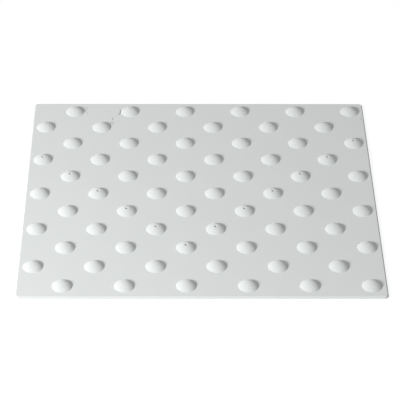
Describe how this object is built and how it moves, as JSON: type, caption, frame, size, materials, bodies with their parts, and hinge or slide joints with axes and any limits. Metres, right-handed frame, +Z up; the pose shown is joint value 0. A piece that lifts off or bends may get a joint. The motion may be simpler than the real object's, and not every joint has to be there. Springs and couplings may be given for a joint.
{
  "type": "tactile warning strip",
  "caption": "Thin bevelled polymer sheet with staggered rows of low domed blisters on top and a flat underside that is glued to the ground to warn people with poor sight.",
  "frame": {"origin": "middle of the flat underside, on the ground", "axes": "+X along the longer side, +Y to the far side, +Z up through the blisters"},
  "size_m": [0.45, 0.417, 0.008],
  "materials": {
    "moulded_polyurethane": "satin-matt white, smooth as moulded"
  },
  "bodies": {
    "root": {"tactile_strip": "moulded_polyurethane"}
  },
  "joints": []
}
